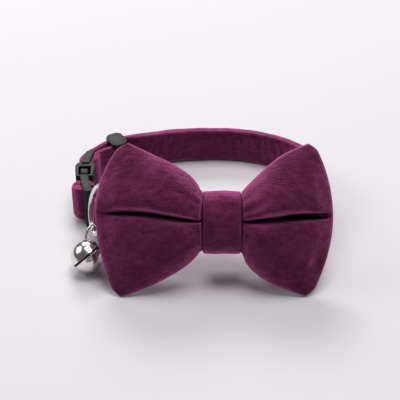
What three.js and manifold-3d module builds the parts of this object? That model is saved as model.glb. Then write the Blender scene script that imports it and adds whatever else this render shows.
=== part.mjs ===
// Pet bow tie collar: a padded velvet strap closed by a side-release buckle, with a velvet bow, a D-ring
// and a jingle bell. Millimetres, +Z up, the bow at the front (-Y). The collar lies on the plane z = 0.
import * as THREE from "three";
import { mergeVertices } from "three/addons/utils/BufferGeometryUtils.js";
import Module from "manifold-3d";

const wasm = await Module();
wasm.setup();

// ---- Driving dimensions ----------------------------------------------------------------------------
const STRAP_WIDTH = 16;
const STRAP_THICK = 4.4;
const LAYER_THICK = 2.6; // each of the two layers of the adjuster loop, pressed thinner
const GAP = 0.3; // air kept between neighbouring pieces

const BUCKLE = { length: 28.2, height: 19.6, thick: 8.4, rail: 1.5, bar: 2.4, wall: 1.4, bend: 50 };
const BUCKLE_BACK = new THREE.Vector3(-52.9, 8.6, BUCKLE.height / 2);
const BUCKLE_TURN = THREE.MathUtils.degToRad(2.5); // the buckle's length against -Y, seen from above
const BUCKLE_MIDDLE = 13; // where the buckle's gentle curve round the neck stands out most

const SLIDER = { height: 19.4, length: 7.4, bar: 1.4, side: 1, plate: 1.35, cut: 1.7 };
const SLIDER_AT = new THREE.Vector3(-39.9, 19.9, SLIDER.height / 2);
const SLIDER_TURN = THREE.MathUtils.degToRad(29.5); // the slider's length against -X, seen from above
const RING_WIRE = 2;
const RING_HEIGHT = 23.2;
const LINK = { radius: 3, wire: 1.1 };
const BELL = { radius: 6.8, wall: 0.6, slot: 0.9, eye: 1.5 };

const BOW_CENTRE = new THREE.Vector3(6.3, -45.9, 23.7);
const BOW_LEAN = THREE.MathUtils.degToRad(37.5); // the bow leans back over the strap
// Half heights of a lobe above and below the crease, from the waist (t = 0) to the outer tips (t = 1),
// with how far out the edge reaches at the upper tip, at the middle and at the lower tip.
const LOBE_LEFT = {
  rise: 3.6, // how far the crease climbs on its way out
  high: 39.6,
  reach: 50.3,
  low: 42.4,
  rows: [
    { t: 0, top: 8.6, bottom: 8.6 },
    { t: 0.078, top: 8.8, bottom: 8.8 },
    { t: 0.112, top: 12, bottom: 11.4 },
    { t: 0.16, top: 15.2, bottom: 13.8 },
    { t: 0.25, top: 18.6, bottom: 17 },
    { t: 0.45, top: 23, bottom: 21.6 },
    { t: 0.7, top: 26.8, bottom: 26 },
    { t: 1, top: 31.4, bottom: 29.9 },
  ],
};
const LOBE_RIGHT = {
  rise: 2,
  high: 36.6,
  reach: 44.2,
  low: 35.4,
  rows: [
    { t: 0, top: 8.6, bottom: 8.6 },
    { t: 0.085, top: 8.8, bottom: 8.8 },
    { t: 0.125, top: 12, bottom: 12.6 },
    { t: 0.17, top: 13.8, bottom: 16 },
    { t: 0.25, top: 16.4, bottom: 19 },
    { t: 0.45, top: 22, bottom: 23.4 },
    { t: 0.7, top: 27.4, bottom: 26.6 },
    { t: 1, top: 31.2, bottom: 29.6 },
  ],
};
const LOBE_START = 4.6; // where the lobes leave the pinched waist, inside the knot
const LOBE_THICK = 6.4; // front swell of a lobe over the bow's middle plane
const LOBE_RIM = 1.7; // half thickness at the outer edge
const WAIST = { front: 3.1, back: 2.6 };
const KNOT = { width: 15.2, high: 12.2, low: 12.3, wall: 2, front: 6.2 };

const PLUM = new THREE.Color(0.3, 0.06, 0.18);
const velvet = (name) =>
  new THREE.MeshStandardMaterial({ name, color: PLUM, roughness: 0.95, metalness: 0 });
const plastic = new THREE.MeshStandardMaterial({ name: "black plastic", color: 0x25252a, roughness: 0.45 });
const chrome = new THREE.MeshStandardMaterial({
  name: "chrome",
  color: 0xd8d8dc,
  roughness: 0.12,
  metalness: 1,
});

// ---- Solids ----------------------------------------------------------------------------------------
const solidOf = (geometry) => {
  const plain = new THREE.BufferGeometry();
  plain.setAttribute("position", geometry.getAttribute("position"));
  plain.setIndex(geometry.getIndex());
  const merged = mergeVertices(plain, 1e-4);
  const index = merged.getIndex().array;
  const positions = merged.getAttribute("position").array;
  return new wasm.Manifold(
    new wasm.Mesh({ numProp: 3, vertProperties: positions, triVerts: new Uint32Array(index) }),
  );
};

const geometryOf = (solid) => {
  const mesh = solid.getMesh();
  const geometry = new THREE.BufferGeometry();
  geometry.setAttribute("position", new THREE.BufferAttribute(mesh.vertProperties, mesh.numProp));
  geometry.setIndex(new THREE.BufferAttribute(mesh.triVerts, 1));
  return geometry.toNonIndexed();
};

const union = (...solids) => wasm.Manifold.union(solids);

// A box given by its size and its middle.
const box = (size, at) => solidOf(new THREE.BoxGeometry(...size).translate(...at));

// A closed surface through rings of points, each ring with the same number of points.
const loft = (rings, closed = false) => {
  const count = rings[0].length;
  const points = rings.flat();
  const index = [];
  const last = closed ? rings.length : rings.length - 1;
  for (let i = 0; i < last; i++) {
    const next = (i + 1) % rings.length;
    for (let j = 0; j < count; j++) {
      const k = (j + 1) % count;
      const [a, b, c, d] = [i * count + j, i * count + k, next * count + k, next * count + j];
      index.push(a, b, c, a, c, d);
    }
  }
  if (!closed) {
    for (const [ring, turn] of [
      [0, false],
      [rings.length - 1, true],
    ]) {
      const middle = rings[ring].reduce((sum, p) => sum.add(p), new THREE.Vector3()).divideScalar(count);
      points.push(middle);
      const m = points.length - 1;
      for (let j = 0; j < count; j++) {
        const a = ring * count + j;
        const b = ring * count + ((j + 1) % count);
        index.push(...(turn ? [m, a, b] : [m, b, a]));
      }
    }
  }
  const geometry = new THREE.BufferGeometry().setFromPoints(points);
  geometry.setIndex(index);
  const solid = solidOf(geometry);
  if (solid.volume() > 0) return solid;
  for (let i = 0; i < index.length; i += 3) [index[i], index[i + 1]] = [index[i + 1], index[i]];
  geometry.setIndex(index);
  return solidOf(geometry);
};

// Cross-section of a padded band: flat faces with well rounded edges, as [across, through] pairs.
const bandSection = (width, thick, steps = 4) => {
  const radius = thick * 0.36;
  const corners = [
    [1, 1, 0],
    [-1, 1, 1],
    [-1, -1, 2],
    [1, -1, 3],
  ];
  return corners.flatMap(([a, b, quarter]) =>
    Array.from({ length: steps }, (_, i) => {
      const angle = ((quarter + i / (steps - 1)) * Math.PI) / 2;
      return [
        a * (width / 2 - radius) + radius * Math.cos(angle),
        b * (thick / 2 - radius) + radius * Math.sin(angle),
      ];
    }),
  );
};

// A band swept along stations that each hold a place, the way across the band and the way through it.
const sweepBand = (stations, closed = false) =>
  loft(
    stations.map(({ at, across, through, width, thick }) =>
      bandSection(width, thick).map(([a, t]) =>
        at.clone().addScaledVector(across, a).addScaledVector(through, t),
      ),
    ),
    closed,
  );

// Round wire along a curve; a closed curve gives a closed ring.
const wire = (curve, thickness, steps, closed) =>
  solidOf(new THREE.TubeGeometry(curve, steps, thickness / 2, 10, closed));

// ---- The strap's route -----------------------------------------------------------------------------
// Middle line of the loop, from the buckle's end bar round the front, the right side and the back to the
// buckle's back bar. lean is how far the top edge tips toward the middle of the loop, in degrees.
const ROUTE = [
  { x: -44.2, y: -23.4, z: 11.8, lean: 9, thick: STRAP_THICK },
  { x: -41.8, y: -28.6, z: 14.8, lean: 18, thick: STRAP_THICK },
  { x: -36, y: -33.8, z: 17, lean: 28, thick: STRAP_THICK },
  { x: -25.5, y: -37.4, z: 18.6, lean: 35, thick: STRAP_THICK },
  { x: -10, y: -39.3, z: 19.1, lean: 39, thick: STRAP_THICK },
  { x: 6.3, y: -39.6, z: 19.4, lean: 39, thick: STRAP_THICK },
  { x: 22, y: -37.5, z: 18.4, lean: 37, thick: STRAP_THICK },
  { x: 36, y: -31, z: 15.6, lean: 30, thick: STRAP_THICK },
  { x: 45.5, y: -20, z: 11.6, lean: 17, thick: STRAP_THICK },
  { x: 49.8, y: -6, z: 9, lean: 5, thick: STRAP_THICK },
  { x: 49.2, y: 8.6, z: 8.16, lean: 0, thick: STRAP_THICK },
  { x: 42.6, y: 19.4, z: 8.06, lean: 0, thick: STRAP_THICK },
  { x: 32, y: 26.9, z: 8.06, lean: 0, thick: STRAP_THICK },
  { x: 18, y: 31.8, z: 8.06, lean: 0, thick: STRAP_THICK },
  { x: 2, y: 33, z: 8.06, lean: 0, thick: STRAP_THICK },
  { x: -14.6, y: 31.2, z: 8.5, lean: 0, thick: STRAP_THICK },
  { x: -27.2, y: 27, z: 9.3, lean: 0, thick: STRAP_THICK },
];

const BUCKLE_BAR_AT = BUCKLE.bar / 2; // middle of the back bar

// Length direction of the buckle, its outward side and its frame: s runs from the back bar forward.
const BUCKLE_ALONG = new THREE.Vector3(Math.sin(BUCKLE_TURN), -Math.cos(BUCKLE_TURN), 0);
const BUCKLE_OUT = new THREE.Vector3(-Math.cos(BUCKLE_TURN), -Math.sin(BUCKLE_TURN), 0);
const UP = new THREE.Vector3(0, 0, 1);
const bendOf = (s) => (s - BUCKLE_MIDDLE) ** 2 / (2 * BUCKLE.bend);
const onBuckle = (s, out, up = 0) =>
  BUCKLE_BACK.clone()
    .addScaledVector(BUCKLE_ALONG, s)
    .addScaledVector(BUCKLE_OUT, out - bendOf(s))
    .addScaledVector(UP, up);

// Stations of a band along a smooth curve through points, all standing on edge with the given leans.
const stationsOf = (points, rows, count, flip = 1) => {
  const curve = new THREE.CatmullRomCurve3(points, false, "centripetal");
  const leans = rows.map(({ lean, thick }) => new THREE.Vector2(lean, thick));
  const last = points.length - 1;
  return Array.from({ length: count + 1 }, (_, i) => {
    const t = i / count;
    const place = t * last;
    const k = Math.min(Math.floor(place), last - 1);
    const mix = place - k;
    const ease = mix * mix * (3 - 2 * mix);
    const value = leans[k].clone().lerp(leans[k + 1], ease);
    const tangent = curve.getTangent(t).normalize();
    const inward = new THREE.Vector3(-tangent.y, tangent.x, 0).normalize().multiplyScalar(flip);
    const lean = THREE.MathUtils.degToRad(value.x);
    const across = UP.clone().multiplyScalar(Math.cos(lean)).addScaledVector(inward, Math.sin(lean));
    across.addScaledVector(tangent, -across.dot(tangent)).normalize();
    const through = new THREE.Vector3().crossVectors(across, tangent).normalize();
    return { at: curve.getPoint(t), across, through, width: STRAP_WIDTH, thick: value.y };
  });
};

// Adjuster loop: through the slider along the outer layer to the back bar, round it, and back along the
// inner layer to the slider.
const LAYER = LAYER_THICK / 2 + SLIDER.bar / 2 + GAP; // middle of a layer from the slider's middle bar
const TURN = BUCKLE.bar / 2 + LAYER_THICK / 2 + GAP;
const SLIDER_ALONG = new THREE.Vector3(-Math.cos(SLIDER_TURN), -Math.sin(SLIDER_TURN), 0);
const SLIDER_OUT = new THREE.Vector3(-Math.sin(SLIDER_TURN), Math.cos(SLIDER_TURN), 0);
const onSlider = (along, out) =>
  SLIDER_AT.clone().addScaledVector(SLIDER_ALONG, along).addScaledVector(SLIDER_OUT, out);
const turnPoint = (degrees) => {
  const angle = THREE.MathUtils.degToRad(degrees);
  return onBuckle(BUCKLE_BAR_AT + TURN * Math.sin(angle), TURN * Math.cos(angle));
};
const single = (point, thick = LAYER_THICK) => ({ point, lean: 0, thick });

// The strap's fold on the ladder of the plug half: from its stitched end on the inner side out through
// the back slot, over the cross bar, in through the front slot and on along the loop.
const FOLD = [
  { s: 21.9, out: -2.6, thick: 2.2 },
  { s: 20.3, out: -2.6, thick: 2.2 },
  { s: 19.1, out: -1.1, thick: 2.3 },
  { s: 19.1, out: 0.8, thick: 2.5 },
  { s: 19.7, out: 2.9, thick: 3.8 },
  { s: 21.7, out: 3.7, thick: 4.4 },
  { s: 23.6, out: 2.9, thick: 3.8 },
  { s: 24.25, out: 0.9, thick: 2.5 },
  { s: 24.25, out: -1, thick: 2.5 },
  { s: 25.4, out: -4.2, thick: 2.7 },
  { s: 28, out: -5, thick: 4.2 },
];
const strapRows = [
  ...FOLD.map(({ s, out, thick }) => single(onBuckle(s, out), thick)),
  ...ROUTE.map(({ x, y, z, lean, thick }) => ({ point: new THREE.Vector3(x, y, z), lean, thick })),
  single(onSlider(-4.4, LAYER)),
  single(onSlider(0, LAYER)),
  single(onSlider(4.6, LAYER)),
  single(onBuckle(-3, 1.6)),
  ...[15, 50, 90, 130, 165].map((degrees) => single(turnPoint(degrees))),
  single(onBuckle(-3, -2.7)),
  single(onSlider(4.6, -LAYER)),
  single(onSlider(0, -LAYER)),
  single(onSlider(-2.6, -LAYER)),
];

const strap = sweepBand(
  stationsOf(
    strapRows.map(({ point }) => point),
    strapRows,
    strapRows.length * 5,
  ),
);

// ---- Bow -------------------------------------------------------------------------------------------
// Bow frame: u along the bow, v up its face, n out of its face.
const BOW_UP = new THREE.Vector3(0, Math.sin(BOW_LEAN), Math.cos(BOW_LEAN));
const BOW_OUT = new THREE.Vector3(0, -Math.cos(BOW_LEAN), Math.sin(BOW_LEAN));
const onBow = (u, v, n) =>
  new THREE.Vector3(BOW_CENTRE.x + u, BOW_CENTRE.y, BOW_CENTRE.z)
    .addScaledVector(BOW_UP, v)
    .addScaledVector(BOW_OUT, n);

const smooth = (x) => x * x * (3 - 2 * x);
const clamp01 = (x) => Math.min(1, Math.max(0, x));

const RINGS = 22; // rings of points along one lobe

// The edge of a lobe above or below the crease: a smooth line through the rows of its table.
const edgeLine = (lobe, side) =>
  new THREE.SplineCurve(lobe.rows.map((row) => new THREE.Vector2(row.t, row[side])));
const edgeAt = (curve, rows, t) => {
  let k = 0;
  while (k < rows.length - 2 && rows[k + 1].t < t) k++;
  const mix = (t - rows[k].t) / (rows[k + 1].t - rows[k].t);
  return curve.getPoint((k + mix) / (rows.length - 1)).y;
};

// One ring of the bow at reach t (0 at the waist, 1 at the outer edge); the edge bows outward between
// the two tips, and the front is dented along the crease.
const bowRing = (side, lobe, t, count = 40) => {
  const top = edgeAt(edgeLine(lobe, "top"), lobe.rows, t);
  const bottom = edgeAt(edgeLine(lobe, "bottom"), lobe.rows, t);
  const swell = Math.pow(Math.sin(Math.PI * clamp01(0.08 + 0.86 * t)), 0.8) * smooth(clamp01(t * 2.2));
  const endRim = smooth(clamp01((1 - t) * 7));
  return Array.from({ length: count }, (_, j) => {
    const angle = (2 * Math.PI * (j + 0.5)) / count;
    const c = Math.cos(angle);
    const s = Math.sin(angle);
    const v = Math.sign(c) * Math.pow(Math.abs(c), 0.75);
    const tip = v > 0 ? lobe.high : lobe.low;
    const reach = lobe.reach - (lobe.reach - tip) * Math.pow(Math.abs(v), 2);
    const crease = Math.exp(-Math.pow(v / 0.13, 2)) * smooth(clamp01(t * 4));
    const round = Math.pow(Math.abs(s), 0.8);
    const front = WAIST.front * (1 - t) + LOBE_RIM * t + LOBE_THICK * swell * 0.62 * (1 - 0.6 * crease);
    const back = WAIST.back * (1 - t) + LOBE_RIM * t + LOBE_THICK * swell * 0.4 * (1 - 0.4 * crease);
    const n = (s > 0 ? front : -back) * round * (0.25 + 0.75 * endRim);
    const rise = lobe.rise * smooth(clamp01(t * 1.4)) * (1 - v * v);
    return onBow(side * (LOBE_START + (reach - LOBE_START) * t), rise + (v > 0 ? v * top : v * bottom), n);
  });
};

const bowRings = [];
for (let i = RINGS; i >= 0; i--) bowRings.push(bowRing(-1, LOBE_LEFT, i / RINGS));
for (let i = 0; i <= RINGS; i++) bowRings.push(bowRing(1, LOBE_RIGHT, i / RINGS));
const bow = loft(bowRings);

// The knot is a closed band round the waist and the strap behind it, in the v-n plane.
const knotLine = [
  { v: -KNOT.low + 2.6, n: KNOT.front - 1.6 },
  { v: -4, n: KNOT.front - 0.4 },
  { v: 4, n: KNOT.front - 0.3 },
  { v: KNOT.high - 2.8, n: KNOT.front - 1.5 },
  { v: KNOT.high - 1, n: KNOT.front - 4.4 },
  { v: KNOT.high - 1, n: -3 },
  { v: KNOT.high - 1.6, n: -9.5 },
  { v: KNOT.high - 4, n: -12.7 },
  { v: 0, n: -12.9 },
  { v: -KNOT.low + 4, n: -12.7 },
  { v: -KNOT.low + 1.6, n: -9.5 },
  { v: -KNOT.low + 1, n: -3 },
  { v: -KNOT.low + 1, n: KNOT.front - 4.4 },
];
const knotCurve = new THREE.CatmullRomCurve3(
  knotLine.map(({ v, n }) => onBow(0, v, n)),
  true,
  "centripetal",
);
const SIDE = new THREE.Vector3(1, 0, 0);
const knot = sweepBand(
  Array.from({ length: 64 }, (_, i) => {
    const t = i / 64;
    const tangent = knotCurve.getTangent(t).normalize();
    const through = new THREE.Vector3().crossVectors(SIDE, tangent).normalize();
    return { at: knotCurve.getPoint(t), across: SIDE, through, width: KNOT.width, thick: KNOT.wall };
  }),
  true,
);

// ---- Buckle ----------------------------------------------------------------------------------------
// In the buckle's own frame: x along its length from the back bar, y outward, z up from its middle.
const toBuckle = (solid) => {
  const frame = new THREE.Matrix4().makeBasis(BUCKLE_ALONG, BUCKLE_OUT.clone().negate(), UP);
  frame.setPosition(BUCKLE_BACK);
  return solid
    .refineToLength(3)
    .warp((point) => {
      point[1] += bendOf(point[0]);
    })
    .transform(frame.elements);
};
const HALF = BUCKLE.height / 2;
const HOUSING = { start: 5.8, end: 16.4 };
const RAIL_THICK = 3.4;

// A plate that swells outward along its length, closing to the rails at both ends.
const shellOutline = (grow) => {
  const shape = new THREE.Shape();
  const half = BUCKLE.thick / 2 + grow;
  const low = RAIL_THICK / 2 + grow;
  shape.moveTo(HOUSING.start - grow, -low);
  shape.quadraticCurveTo(HOUSING.start + 0.6, -half, HOUSING.start + 3.4, -half);
  shape.lineTo(HOUSING.end, -half + 0.5);
  shape.lineTo(HOUSING.end, half - 0.5);
  shape.lineTo(HOUSING.start + 3.4, half);
  shape.quadraticCurveTo(HOUSING.start + 0.6, half, HOUSING.start - grow, low);
  shape.closePath();
  return shape;
};
const slab = (shape, height) =>
  solidOf(
    new THREE.ExtrudeGeometry(shape, { depth: height, bevelEnabled: false, curveSegments: 8 }).translate(
      0,
      0,
      -height / 2,
    ),
  );
const housingBody = slab(shellOutline(0), BUCKLE.height - 1.2);
const housingHollow = slab(shellOutline(-BUCKLE.wall), BUCKLE.height - 4.6).add(
  box([4, BUCKLE.thick - 2 * BUCKLE.wall - 1, BUCKLE.height - 4.6], [HOUSING.end, 0, 0]),
);
const sideWindows = box(
  [6.4, BUCKLE.thick - 2 * BUCKLE.wall - 0.2, BUCKLE.height + 4],
  [HOUSING.start + 6.6, 0, 0],
);
const backFrame = union(
  box([HOUSING.start + 3, RAIL_THICK, BUCKLE.rail], [HOUSING.start / 2, 0, HALF - BUCKLE.rail / 2]),
  box([HOUSING.start + 3, RAIL_THICK, BUCKLE.rail], [HOUSING.start / 2, 0, -HALF + BUCKLE.rail / 2]),
  solidOf(
    new THREE.CylinderGeometry(BUCKLE.bar / 2, BUCKLE.bar / 2, BUCKLE.height - 1, 16)
      .rotateX(Math.PI / 2)
      .translate(BUCKLE_BAR_AT, 0, 0),
  ),
);
const buckleFemale = toBuckle(
  union(housingBody.subtract(housingHollow).subtract(sideWindows), backFrame),
);

const LADDER = { middle: 21.7, radius: 0.9, end: 2.3 }; // cross bar and end bar of the plug half
const plateStart = HOUSING.end + GAP;
const prong = (up) => {
  const arm = new THREE.Shape();
  arm.moveTo(plateStart + 1, HALF - 2.6);
  arm.lineTo(HOUSING.start + 9.6, HALF - 2.6);
  arm.lineTo(HOUSING.start + 9.2, HALF - 0.4);
  arm.quadraticCurveTo(HOUSING.start + 7.4, HALF + 0.3, HOUSING.start + 5.6, HALF - 0.4);
  arm.lineTo(HOUSING.start + 3.9, HALF - 1.9);
  arm.lineTo(HOUSING.start + 3.9, HALF - 3.4);
  arm.lineTo(HOUSING.start + 8, HALF - 4.6);
  arm.lineTo(plateStart + 1, HALF - 4.6);
  arm.closePath();
  const solid = solidOf(
    new THREE.ExtrudeGeometry(arm, { depth: 3, bevelEnabled: false, curveSegments: 6 })
      .translate(0, 0, -1.5)
      .rotateX(Math.PI / 2),
  );
  return up > 0 ? solid : solid.mirror([0, 0, 1]);
};
const frameLength = BUCKLE.length - plateStart;
const frameMiddle = plateStart + frameLength / 2;
const ladderBar = (at, thick, depth) => box([thick, depth, BUCKLE.height - 1], [at, 0, 0]);
const buckleMale = toBuckle(
  union(
    box([frameLength, RAIL_THICK, BUCKLE.rail], [frameMiddle, 0, HALF - BUCKLE.rail / 2]),
    box([frameLength, RAIL_THICK, BUCKLE.rail], [frameMiddle, 0, -HALF + BUCKLE.rail / 2]),
    ladderBar(plateStart + 0.4, 0.8, 3),
    solidOf(
      new THREE.CylinderGeometry(LADDER.radius, LADDER.radius, BUCKLE.height - 1, 16)
        .rotateX(Math.PI / 2)
        .translate(LADDER.middle, 0, 0),
    ),
    ladderBar(BUCKLE.length - LADDER.end / 2, LADDER.end, RAIL_THICK),
    prong(1),
    prong(-1),
  ),
);

// ---- Slider ----------------------------------------------------------------------------------------
// A frame round both layers of the strap, with a middle bar between them that the inner one is sewn to.
const sliderFrame = new THREE.Matrix4().makeBasis(SLIDER_ALONG, SLIDER_OUT.clone().negate(), UP);
sliderFrame.setPosition(SLIDER_AT);
const sliderHalf = SLIDER.height / 2;
const sliderDeep = LAYER + LAYER_THICK / 2 + GAP + SLIDER.side;
const plateShape = new THREE.Shape();
{
  const [a, b, cut] = [SLIDER.length / 2, sliderDeep, SLIDER.cut];
  const outline = [
    [-a + cut, -b],
    [a - cut, -b],
    [a, -b + cut],
    [a, b - cut],
    [a - cut, b],
    [-a + cut, b],
    [-a, b - cut],
    [-a, -b + cut],
  ];
  plateShape.setFromPoints(outline.map(([x, y]) => new THREE.Vector2(x, y)));
}
const sliderPlate = slab(plateShape, SLIDER.plate);
const uprights = [-1, 1].flatMap((side) =>
  [-1, 1].map((end) =>
    box(
      [1.6, SLIDER.side, SLIDER.height - 1],
      [end * (SLIDER.length / 2 - SLIDER.cut - 0.8), side * (sliderDeep - SLIDER.side / 2), 0],
    ),
  ),
);
const slider = union(
  sliderPlate.translate([0, 0, sliderHalf - SLIDER.plate / 2]),
  sliderPlate.translate([0, 0, -sliderHalf + SLIDER.plate / 2]),
  box([2.2, SLIDER.bar, SLIDER.height - 1], [0, 0, 0]),
  ...uprights,
).transform(sliderFrame.elements);

// ---- D-ring, its keeper, the link and the bell -----------------------------------------------------
const RING_BAR = new THREE.Vector3(-43.3, -34.2, 19.7); // middle of the straight side
const RING_SWING = THREE.MathUtils.degToRad(-19.5); // how far the bulge has swung, seen from above
const RING_OUT = new THREE.Vector3(-0.72, 0.66, -0.2).normalize(); // from the straight side to the bulge
const RING_UP = new THREE.Vector3(0.2, 0.3, 0.92);
RING_UP.addScaledVector(RING_OUT, -RING_UP.dot(RING_OUT)).normalize();
const KEEPER_ALONG = RING_OUT.clone(); // the strap's way under the ring, before the ring swings out
RING_OUT.applyAxisAngle(RING_UP, RING_SWING);
const onRing = (out, up) =>
  RING_BAR.clone().addScaledVector(RING_OUT, out).addScaledVector(RING_UP, up);
const ringHalf = (RING_HEIGHT - RING_WIRE) / 2;
const ringPoints = [];
for (let i = -4; i <= 4; i++) ringPoints.push(onRing(0, (i / 5) * ringHalf));
for (let degrees = 78; degrees >= -78; degrees -= 12) {
  const angle = THREE.MathUtils.degToRad(degrees);
  ringPoints.push(onRing(ringHalf * 0.96 * Math.cos(angle), ringHalf * Math.sin(angle)));
}
const dRing = wire(new THREE.CatmullRomCurve3(ringPoints, true, "centripetal"), RING_WIRE, 96, true);

const KEEPER_OUT = new THREE.Vector3().crossVectors(RING_UP, KEEPER_ALONG).normalize();
if (KEEPER_OUT.y > 0) KEEPER_OUT.negate();
const keeperRadius = RING_WIRE / 2 + 0.6 + GAP + 0.1;
const keeperPoints = [
  [4.4, -0.35],
  [3, -0.2],
  [1.75, 1],
  [0, keeperRadius],
  [-1.75, 1],
  [-3, -0.2],
  [-4.4, -0.35],
].map(([a, b]) => RING_BAR.clone().addScaledVector(KEEPER_ALONG, a).addScaledVector(KEEPER_OUT, b));
const keeperCurve = new THREE.CatmullRomCurve3(keeperPoints, false, "centripetal");
const keeper = sweepBand(
  Array.from({ length: 25 }, (_, i) => {
    const tangent = keeperCurve.getTangent(i / 24).normalize();
    const through = new THREE.Vector3().crossVectors(RING_UP, tangent).normalize();
    return { at: keeperCurve.getPoint(i / 24), across: RING_UP, through, width: 10, thick: 1.2 };
  }),
);

const BELL_AT = new THREE.Vector3(-48.2, -47.1, BELL.radius);
const BELL_AXIS = new THREE.Vector3(0.12, 0.86, -0.5).normalize(); // toward the bell's own loop
const BELL_SLOT = new THREE.Vector3(0.774, 0.38, 0.506); // the way the slot runs, before squaring
BELL_SLOT.addScaledVector(BELL_AXIS, -BELL_SLOT.dot(BELL_AXIS)).normalize();
const sphere = (radius) => solidOf(new THREE.SphereGeometry(radius, 40, 24));
const slotCutter = union(
  box([2 * BELL.radius + 4, BELL.slot, BELL.radius], [0, 0, -BELL.radius / 2 - 0.6]),
  solidOf(
    new THREE.CylinderGeometry(1.1, 1.1, 2 * BELL.radius + 4, 20)
      .rotateZ(Math.PI / 2)
      .translate(0, 0, -1.4),
  ),
);
const bellFrame = new THREE.Matrix4().makeBasis(
  BELL_SLOT,
  new THREE.Vector3().crossVectors(BELL_AXIS, BELL_SLOT),
  BELL_AXIS,
);
bellFrame.setPosition(BELL_AT);

// The link passes through the bell's eye and round the lower curve of the D-ring.
const HOOK = { angle: -55, inside: 2.4, tilt: 30 }; // degrees round the curve, distance, degrees
const hookTurn = THREE.MathUtils.degToRad(HOOK.angle);
const radial = RING_OUT.clone()
  .multiplyScalar(Math.cos(hookTurn))
  .addScaledVector(RING_UP, Math.sin(hookTurn));
const linkTop = onRing(ringHalf * 0.96 * Math.cos(hookTurn), ringHalf * Math.sin(hookTurn))
  .addScaledVector(radial, -HOOK.inside);
const EYE_AT = BELL_AT.clone().addScaledVector(BELL_AXIS, BELL.radius + BELL.eye - 0.3);
const linkDown = EYE_AT.clone().sub(linkTop).normalize();
const ringWay = RING_OUT.clone()
  .multiplyScalar(-0.96 * Math.sin(hookTurn))
  .addScaledVector(RING_UP, Math.cos(hookTurn));
const linkSide = new THREE.Vector3()
  .crossVectors(ringWay, linkDown)
  .normalize()
  .applyAxisAngle(linkDown, THREE.MathUtils.degToRad(HOOK.tilt));
const linkRadius = linkTop.distanceTo(EYE_AT) / 2;
const linkMiddle = linkTop.clone().lerp(EYE_AT, 0.5);
const linkCurve = new THREE.CatmullRomCurve3(
  Array.from({ length: 20 }, (_, i) => {
    const angle = (i / 20) * 2 * Math.PI;
    return linkMiddle
      .clone()
      .addScaledVector(linkDown, linkRadius * Math.cos(angle))
      .addScaledVector(linkSide, LINK.radius * Math.sin(angle));
  }),
  true,
  "centripetal",
);
const eyeAxis = linkSide.clone().addScaledVector(BELL_AXIS, -linkSide.dot(BELL_AXIS)).normalize();
const eyeFrame = new THREE.Matrix4().makeBasis(
  new THREE.Vector3().crossVectors(BELL_AXIS, eyeAxis),
  BELL_AXIS,
  eyeAxis,
);
eyeFrame.setPosition(EYE_AT);
const bellEye = solidOf(new THREE.TorusGeometry(BELL.eye, 0.5, 10, 28)).transform(eyeFrame.elements);
const bell = union(
  sphere(BELL.radius)
    .subtract(sphere(BELL.radius - BELL.wall))
    .subtract(slotCutter)
    .transform(bellFrame.elements),
  bellEye,
);
const jumpRing = wire(linkCurve, LINK.wire, 48, true);

// ---- The collar ------------------------------------------------------------------------------------
const group = new THREE.Group();
group.name = "pet_bow_tie_collar";
const add = (name, solid, material) => {
  const mesh = new THREE.Mesh(geometryOf(solid), material);
  mesh.name = name;
  mesh.geometry.computeVertexNormals();
  group.add(mesh);
};
add("strap", strap, velvet("strap velvet"));
add("bow", bow, velvet("bow velvet"));
add("knot", knot, velvet("knot velvet"));
add("buckle_female", buckleFemale, plastic);
add("buckle_male", buckleMale, plastic);
add("slider", slider, plastic);
add("d_ring", dRing, chrome);
add("d_ring_keeper", keeper, velvet("keeper velvet"));
add("jump_ring", jumpRing, chrome);
add("bell", bell, chrome);

// The row's own frame: the middle of the collar's plan, on the surface it lies on.
const bounds = new THREE.Box3().setFromObject(group);
const middle = bounds.getCenter(new THREE.Vector3());
for (const mesh of group.children) mesh.position.set(-middle.x, -middle.y, -bounds.min.z);

export default group;
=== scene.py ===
"""Pet bow tie collar: velvet strap, bow and knot, moulded buckle and slider, polished ring, link and bell.

Shapes are worked out in millimetres in the collar's own plan (origin inside the loop, +Z up, bow at -Y)
and brought into the row frame in metres by place().
"""

import math

import bmesh
import bpy
import numpy as np
from bpy.props import FloatProperty, FloatVectorProperty, PointerProperty
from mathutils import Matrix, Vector


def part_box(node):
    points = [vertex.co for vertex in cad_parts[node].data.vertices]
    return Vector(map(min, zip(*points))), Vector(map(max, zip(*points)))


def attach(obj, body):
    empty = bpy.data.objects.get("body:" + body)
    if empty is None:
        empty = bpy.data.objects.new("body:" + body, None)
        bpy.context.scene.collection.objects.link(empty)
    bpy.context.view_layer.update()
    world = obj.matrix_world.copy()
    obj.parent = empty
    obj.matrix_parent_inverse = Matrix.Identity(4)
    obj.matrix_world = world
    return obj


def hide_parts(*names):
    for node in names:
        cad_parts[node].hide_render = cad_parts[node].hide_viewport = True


bl_info = {
    "name": "Velvet bow tie collar",
    "version": (1, 0, 0),
    "blender": (4, 5, 0),
    "location": "View3D > Sidebar > Collar",
    "description": "Builds the finished surfaces of a velvet pet collar round its packed frame",
    "category": "Add Mesh",
}

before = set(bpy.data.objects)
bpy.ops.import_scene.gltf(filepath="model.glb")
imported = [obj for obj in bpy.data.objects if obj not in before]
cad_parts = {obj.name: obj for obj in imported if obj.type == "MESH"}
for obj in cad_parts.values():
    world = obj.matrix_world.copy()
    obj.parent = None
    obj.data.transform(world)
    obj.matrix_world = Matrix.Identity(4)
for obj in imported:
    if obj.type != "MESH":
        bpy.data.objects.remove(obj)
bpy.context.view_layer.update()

MM = 0.001
TAU = 2 * math.pi

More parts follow.
